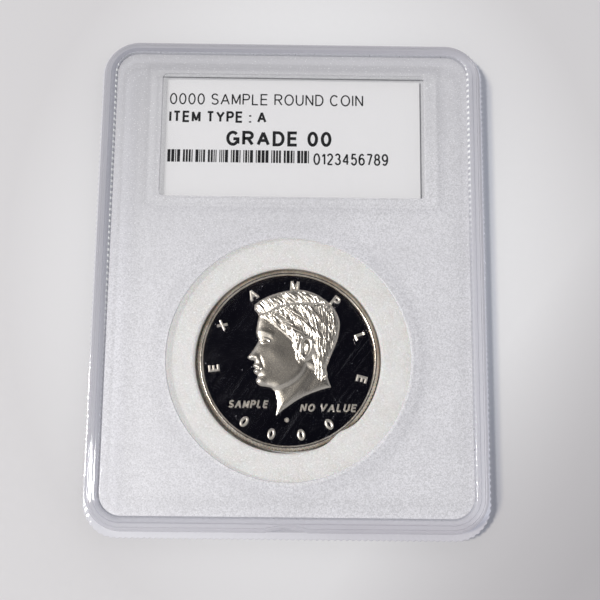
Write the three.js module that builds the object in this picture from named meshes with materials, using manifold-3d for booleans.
// A graded coin slab: a flat snap-together case of clear plastic that shows one coin and its label.
// The rear shell is a shallow tray with a reeded flange. The front shell is its lid.
// Between them lie a ring that grips the coin by its edge, the coin itself and a paper label.
//
// Units are millimetres. The slab lies on its back: +X is to the right, +Y is towards the label end,
// +Z comes out of the front face, and the origin is under the middle of the outline at the feet.

import * as THREE from "three";
import { mergeVertices } from "three/addons/utils/BufferGeometryUtils.js";
import Module from "manifold-3d";

// ---- Driving dimensions ----

const FLANGE = { width: 67.5, length: 86.3, corner: 6.0 }; // the widest outline, on the rear shell
const PANEL = { width: 60.5, length: 78.6, corner: 3.6 }; // the frosted field inside the rim
const HEIGHT = 8.0; // from the feet to the top of the front ridge
const GAP = 0.3; // clearance between pieces that touch

const RIDGE_WIDTH = 1.1; // the front ridge stands just outside the panel
const RIDGE_HEIGHT = 0.7; // above the shoulder that a stacked slab rests on
const RIM_WIDTH = 2.5; // from the panel's edge to the front shell's outer wall
const BEVEL = 0.5; // along the outer edge of the front shoulder

const PANEL_SINK = 0.5; // the front panel lies this far below the ridge
const FRONT_PLATE = 1.6; // thickness of the front panel
const REAR_PLATE = 1.4; // thickness of the rear panel
const WINDOW_SINK = 0.25; // the polished windows lie this far below the frosted panel

const FLANGE_BOTTOM = 0.9;
const FLANGE_TOP = 3.4;
const REED_PITCH = 1.0; // the flange's edge is reeded for grip
const REED_DEPTH = 0.25;

const TONGUE_WIDTH = 1.0; // the wall on the rear shell that the front shell slips over
const TONGUE_TOP = 5.2;

const COIN = { radius: 15.305, thickness: 2.15, rim: 0.9, field: 0.22 }; // field: how far it is sunk
const DISPLAY_Y = -13.55; // centre of the coin, its ring and its windows
const WINDOW_RADIUS = 20.3;
const RING = { outer: 20.9, lip: 14.9, lipHeight: 0.4, mouth: 0.5 };
const SOCKET = { wall: 1.0, height: 2.2 }; // the round wall that holds the ring

const LABEL = { width: 44.2, length: 21.3, thickness: 0.3, turn: 0.2 }; // turn in degrees
const LABEL_WINDOW = { width: 45.3, length: 22.0, corner: 0.8, x: 0.25, y: 24.9 };
const POCKET = { width: 50.0, length: 24.6, corner: 1.2, wall: 1.1 };
const SHELF_RIB = 1.2; // the label lies on two ribs of this width
const SHELF_RIB_Y = 5.5; // their distance from the middle of the label

const SCOOP = { width: 7.0, depth: 0.5 }; // the fingernail scoop in the front shell's edge
const KEY_SLOTS = [
  { side: -1, y: 32.3, length: 6.2 },
  { side: 1, y: 35.4, length: 4.5 },
];
const KEY_SLOT = { width: 0.8, depth: 1.1, fromPanel: 1.75 };

const CORNER_STEPS = 6; // segments in a quarter turn of an outline's corner
const ROUND_STEPS = 72; // segments in a full circle
const LAP = 0.2; // how far solids reach into each other before they are joined
const CLEAR = 1; // how far a cutting solid runs past the surface it opens

// ---- Heights worked out from the driving dimensions ----

const SHOULDER_Z = HEIGHT - RIDGE_HEIGHT;
const FRONT_PANEL_Z = HEIGHT - PANEL_SINK;
const FRONT_CEILING_Z = FRONT_PANEL_Z - FRONT_PLATE;
const REAR_PANEL_Z = RIDGE_HEIGHT; // the ridge of the slab below fits under it
const REAR_FLOOR_Z = REAR_PANEL_Z + REAR_PLATE;
const RING_BOTTOM_Z = REAR_FLOOR_Z + GAP;
const RING_TOP_Z = FRONT_CEILING_Z - GAP;
const COIN_BOTTOM_Z = RING_BOTTOM_Z + RING.lipHeight + GAP;
const LABEL_TOP_Z = FRONT_CEILING_Z - GAP;
const LABEL_BOTTOM_Z = LABEL_TOP_Z - LABEL.thickness;
const SHELF_Z = LABEL_BOTTOM_Z - GAP;

const wasm = await Module();
wasm.setup();

// ---- Outlines and solids ----

// A rectangle with round corners. grow moves every side outwards and keeps the corners parallel.
function roundedOutline({ width, length, corner }, grow = 0) {
  const halfX = width / 2 + grow;
  const halfY = length / 2 + grow;
  const r = Math.max(corner + grow, 0.1);
  const quarter = Math.PI / 2;
  const shape = new THREE.Shape();
  shape.absarc(halfX - r, -halfY + r, r, -quarter, 0);
  shape.absarc(halfX - r, halfY - r, r, 0, quarter);
  shape.absarc(-halfX + r, halfY - r, r, quarter, 2 * quarter);
  shape.absarc(-halfX + r, -halfY + r, r, 2 * quarter, 3 * quarter);
  shape.closePath();
  return shape;
}

// The same rectangle with V-shaped reeds all the way round its edge.
function reededOutline(size, pitch, depth) {
  const outline = roundedOutline(size);
  const count = 2 * Math.round(outline.getLength() / pitch);
  const points = outline.getSpacedPoints(count).slice(0, count);
  const reeded = points.map((point, i) => {
    const before = points[(i + count - 1) % count];
    const after = points[(i + 1) % count];
    const along = after.clone().sub(before).normalize();
    const inward = new THREE.Vector2(-along.y, along.x);
    return point.clone().addScaledVector(inward, i % 2 ? depth : 0);
  });
  return new THREE.Shape(reeded);
}

function extruded(shape, bottom, top, x = 0, y = 0) {
  const settings = { depth: top - bottom, bevelEnabled: false, curveSegments: CORNER_STEPS };
  return new THREE.ExtrudeGeometry(shape, settings).translate(x, y, bottom);
}

// An extrusion whose edges at both ends are cut back at 45 degrees.
function bevelled(shape, bottom, top, bevel) {
  const settings = {
    depth: top - bottom - 2 * bevel,
    bevelThickness: bevel,
    bevelSize: bevel,
    bevelOffset: -bevel,
    bevelSegments: 1,
    curveSegments: CORNER_STEPS,
  };
  return new THREE.ExtrudeGeometry(shape, settings).translate(0, 0, bottom + bevel);
}

function disc(radius, bottom, top, x = 0, y = 0) {
  return new THREE.CylinderGeometry(radius, radius, top - bottom, ROUND_STEPS)
    .rotateX(Math.PI / 2)
    .translate(x, y, (bottom + top) / 2);
}

// A solid turned about Z from a closed profile of [radius, height] points.
function turned(profile) {
  const points = profile.map(([radius, z]) => new THREE.Vector2(radius, z));
  return new THREE.LatheGeometry(points, ROUND_STEPS).rotateX(Math.PI / 2);
}

function toSolid(geometry) {
  const bare = geometry.clone().deleteAttribute("normal").deleteAttribute("uv");
  const merged = mergeVertices(bare, 1e-4);
  const mesh = new wasm.Mesh({
    numProp: 3,
    vertProperties: merged.attributes.position.array,
    triVerts: new Uint32Array(merged.index.array),
  });
  return new wasm.Manifold(mesh);
}

function toGeometry(solid) {
  const mesh = solid.getMesh();
  return new THREE.BufferGeometry()
    .setAttribute("position", new THREE.BufferAttribute(mesh.vertProperties, 3))
    .setIndex(new THREE.BufferAttribute(mesh.triVerts, 1));
}

// Joins the first list of geometries and then cuts the second list out of them.
function shaped(joined, cut = []) {
  const [first, ...others] = joined.map(toSolid);
  const whole = others.reduce((solid, other) => solid.add(other), first);
  return toGeometry(cut.map(toSolid).reduce((solid, tool) => solid.subtract(tool), whole));
}

// ---- The two polished windows, as cutting tools that sink them below a panel ----

function windowCuts(bottom, top) {
  return [
    disc(WINDOW_RADIUS, bottom, top, 0, DISPLAY_Y),
    extruded(roundedOutline(LABEL_WINDOW), bottom, top, LABEL_WINDOW.x, LABEL_WINDOW.y),
  ];
}

// ---- Front shell ----

function frontShell() {
  const wallBottom = FLANGE_TOP + GAP;
  const wallOutline = roundedOutline(PANEL, RIM_WIDTH);
  const plate = extruded(roundedOutline(PANEL, LAP), FRONT_CEILING_Z, FRONT_PANEL_Z);
  const ridge = extruded(roundedOutline(PANEL, RIDGE_WIDTH), FRONT_CEILING_Z, HEIGHT);
  const wall = extruded(wallOutline, wallBottom, SHOULDER_Z - BEVEL);
  const shoulder = bevelled(wallOutline, FRONT_CEILING_Z, SHOULDER_Z, BEVEL);
  const insideRidge = extruded(roundedOutline(PANEL), FRONT_PANEL_Z, HEIGHT + CLEAR);
  const overTongue = roundedOutline(PANEL, TONGUE_WIDTH / 2 + GAP);
  const hollow = extruded(overTongue, wallBottom - CLEAR, FRONT_CEILING_Z);
  const windows = windowCuts(FRONT_PANEL_Z - WINDOW_SINK, HEIGHT);
  return shaped(
    [plate, ridge, wall, shoulder],
    [insideRidge, hollow, fingernailScoop(wallBottom, SHOULDER_Z), ...windows],
  );
}

// A shallow scoop in the middle of the end away from the label, where a fingernail lifts the shell.
function fingernailScoop(bottom, top) {
  const radius = (SCOOP.width ** 2 / 4 + SCOOP.depth ** 2) / (2 * SCOOP.depth);
  const edgeY = -(PANEL.length / 2 + RIM_WIDTH);
  return disc(radius, bottom - CLEAR, top + CLEAR, 0, edgeY + SCOOP.depth - radius);
}

// ---- Rear shell ----

function rearShell() {
  const reeded = reededOutline(FLANGE, REED_PITCH, REED_DEPTH);
  const flange = extruded(reeded, FLANGE_BOTTOM, FLANGE_TOP);
  const foot = extruded(roundedOutline(PANEL, RIM_WIDTH), 0, FLANGE_BOTTOM + LAP);
  const tongue = extruded(roundedOutline(PANEL, TONGUE_WIDTH / 2), FLANGE_TOP - LAP, TONGUE_TOP);
  const insideTongue = roundedOutline(PANEL, -TONGUE_WIDTH / 2);
  const hollow = extruded(insideTongue, REAR_FLOOR_Z, TONGUE_TOP + CLEAR);
  const underPanel = extruded(roundedOutline(PANEL, RIDGE_WIDTH + GAP), -CLEAR, REAR_PANEL_Z);
  const tray = shaped([flange, foot, tongue], [hollow, underPanel, ...KEY_SLOTS.map(keySlot)]);
  const windows = windowCuts(REAR_PANEL_Z - CLEAR, REAR_PANEL_Z + WINDOW_SINK);
  return shaped([tray, ringSocket(), labelPocket()], windows);
}

// A slot in the top of the rear rim, seen through the front shell.
function keySlot({ side, y, length }) {
  const x = side * (PANEL.width / 2 + KEY_SLOT.fromPanel);
  const outline = roundedOutline({ width: KEY_SLOT.width, length, corner: 0.2 });
  return extruded(outline, FLANGE_TOP - KEY_SLOT.depth, FLANGE_TOP + CLEAR, x, y);
}

// The round wall on the floor that keeps the ring in place.
function ringSocket() {
  const inner = RING.outer + GAP;
  const top = REAR_FLOOR_Z + SOCKET.height;
  return shaped(
    [disc(inner + SOCKET.wall, REAR_FLOOR_Z - LAP, top, 0, DISPLAY_Y)],
    [disc(inner, REAR_FLOOR_Z - CLEAR, top + CLEAR, 0, DISPLAY_Y)],
  );
}

// A rectangular wall round the label, with two ribs across it that the label lies on.
function labelPocket() {
  const bottom = REAR_FLOOR_Z - LAP;
  const { x, y } = LABEL_WINDOW;
  const inner = roundedOutline(POCKET, -POCKET.wall);
  const frame = shaped(
    [extruded(roundedOutline(POCKET), bottom, LABEL_TOP_Z, x, y)],
    [extruded(inner, bottom - CLEAR, LABEL_TOP_Z + CLEAR, x, y)],
  );
  const rib = { width: POCKET.width - POCKET.wall, length: SHELF_RIB, corner: 0.1 };
  const ribs = [-SHELF_RIB_Y, SHELF_RIB_Y].map((offset) =>
    extruded(roundedOutline(rib), bottom, SHELF_Z, x, y + offset),
  );
  return shaped([frame, ...ribs]);
}

// ---- What the shells hold ----

// The ring has a lip that the coin lies on and a mouth that opens towards the front.
function coinRing() {
  const bore = COIN.radius + GAP;
  const bottom = RING_BOTTOM_Z;
  const top = RING_TOP_Z;
  return turned([
    [RING.lip, bottom],
    [RING.outer, bottom],
    [RING.outer, top],
    [bore + RING.mouth, top],
    [bore, top - RING.mouth],
    [bore, bottom + RING.lipHeight],
    [RING.lip, bottom + RING.lipHeight],
    [RING.lip, bottom],
  ]);
}

// A plain coin: a disc with a raised rim on both faces. Its middle is at height 0.
function coinBlank() {
  const half = COIN.thickness / 2;
  const rimInner = COIN.radius - COIN.rim;
  const slope = 0.2;
  return turned([
    [0, -half + COIN.field],
    [rimInner - slope, -half + COIN.field],
    [rimInner, -half],
    [COIN.radius, -half],
    [COIN.radius, half],
    [rimInner, half],
    [rimInner - slope, half - COIN.field],
    [0, half - COIN.field],
  ]);
}

function labelCard() {
  const outline = roundedOutline({ width: LABEL.width, length: LABEL.length, corner: 0.1 });
  return extruded(outline, 0, LABEL.thickness);
}

// ---- Materials and scene graph ----

const MATERIALS = {
  clearPlastic: new THREE.MeshStandardMaterial({
    color: 0xd9d8df,
    roughness: 0.25,
    metalness: 0,
    transparent: true,
    opacity: 0.4,
  }),
  ringPlastic: new THREE.MeshStandardMaterial({ color: 0xe4e2da, roughness: 0.7, metalness: 0 }),
  coinMetal: new THREE.MeshStandardMaterial({ color: 0xc9c7c2, roughness: 0.2, metalness: 1 }),
  paper: new THREE.MeshStandardMaterial({ color: 0xececea, roughness: 0.9, metalness: 0 }),
};

function piece(name, geometry, material) {
  const mesh = new THREE.Mesh(geometry, material);
  mesh.name = name;
  return mesh;
}

const ring = piece("coin_ring", coinRing(), MATERIALS.ringPlastic);
ring.position.set(0, DISPLAY_Y, 0);

const coin = piece("coin", coinBlank(), MATERIALS.coinMetal);
coin.position.set(0, DISPLAY_Y, COIN_BOTTOM_Z + COIN.thickness / 2);

const label = piece("grade_label", labelCard(), MATERIALS.paper);
label.position.set(LABEL_WINDOW.x, LABEL_WINDOW.y, LABEL_BOTTOM_Z);
label.rotation.z = THREE.MathUtils.degToRad(LABEL.turn);

const rearCase = new THREE.Group();
rearCase.add(piece("rear_shell", rearShell(), MATERIALS.clearPlastic), ring, coin, label);

const frontCase = new THREE.Group();
frontCase.add(piece("front_shell", frontShell(), MATERIALS.clearPlastic));

const slab = new THREE.Group();
slab.add(rearCase, frontCase);

export default slab;
